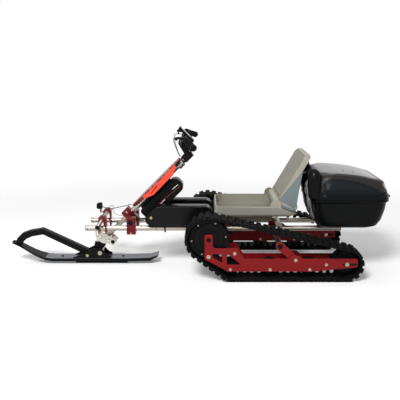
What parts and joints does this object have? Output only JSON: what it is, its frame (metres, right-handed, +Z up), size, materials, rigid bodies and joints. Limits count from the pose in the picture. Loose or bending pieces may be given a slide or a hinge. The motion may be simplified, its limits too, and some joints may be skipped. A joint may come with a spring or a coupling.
{
  "type": "snow go-kart",
  "caption": "Low electric go-kart for snow: a steered ski in front, a belt unit on each side behind, an open twin-tube frame, a bucket seat with a folding back, and a lidded rear case.",
  "frame": {"origin": "centre of the footprint, on the ground under the belts and the ski's keel", "axes": "+X forward towards the ski's tip, +Y to the rider's left, +Z up"},
  "size_m": [2.3419, 0.82, 0.8631],
  "materials": {
    "bare_alloy": "satin anodised tube",
    "red_anodised": "dark red anodised plate",
    "black_plastic": "moulded, satin",
    "black_rubber": "moulded rubber",
    "orange_cover": "painted shell, grey front face",
    "seat_plastic": "moulded, lightly textured",
    "black_paint": "black powder coat"
  },
  "bodies": {
    "frame": {"case_base": "black_plastic", "case_carrier": "black_paint", "column_battery": "black_plastic", "column_clamp": "red_anodised", "control_unit": "black_plastic", "foot_rest": "bare_alloy", "front_cover": "orange_cover", "front_crossbar": "red_anodised", "front_under_tube": "black_paint", "headlight": "black_plastic", "left_battery": "black_plastic", "left_drive_wheel": "black_plastic", "left_frame_rail": "bare_alloy", "left_idler_wheel": "black_plastic", "left_inner_plate": "red_anodised", "left_link_arm": "red_anodised", "left_outer_plate": "red_anodised", "left_road_wheel_1": "black_plastic", "left_road_wheel_2": "black_plastic", "left_road_wheel_3": "black_plastic", "left_track": "black_rubber", "rear_under_tube": "black_paint", "right_battery": "black_plastic", "right_drive_wheel": "black_plastic", "right_frame_rail": "bare_alloy", "right_idler_wheel": "black_plastic", "right_inner_plate": "red_anodised", "right_link_arm": "red_anodised", "right_outer_plate": "red_anodised", "right_road_wheel_1": "black_plastic", "right_road_wheel_2": "black_plastic", "right_road_wheel_3": "black_plastic", "right_track": "black_rubber", "seat_base": "seat_plastic", "seat_bracket": "red_anodised", "steering_sleeve": "bare_alloy"},
    "steering": {"steering_column": "bare_alloy", "handlebar": "black_rubber", "display": "black_plastic", "ski_link": "bare_alloy"},
    "ski": {"ski": "black_plastic", "ski_handle": "black_plastic", "ski_saddle": "black_plastic"},
    "seat_back": {"seat_back": "seat_plastic"},
    "case_lid": {"case_lid": "black_plastic"}
  },
  "joints": [
    {"name": "steering_turn", "type": "hinge", "parent": "frame", "child": "steering", "pos_m": [0.593, 0, 0.1475], "axis": [-0.7071, 0, 0.7071], "range_deg": [-30, 30]},
    {"name": "ski_pitch", "type": "hinge", "parent": "steering", "child": "ski", "pos_m": [0.614, 0, 0.069], "axis": [0, 1, 0], "range_deg": [-12, 12]},
    {"name": "seat_back_fold", "type": "hinge", "parent": "frame", "child": "seat_back", "pos_m": [-0.472, 0, 0.412], "axis": [0, 1, 0], "range_deg": [0, 115]},
    {"name": "case_lid_lift", "type": "hinge", "parent": "frame", "child": "case_lid", "pos_m": [-1.1635, 0, 0.456], "axis": [0, -1, 0], "range_deg": [0, 80]}
  ]
}
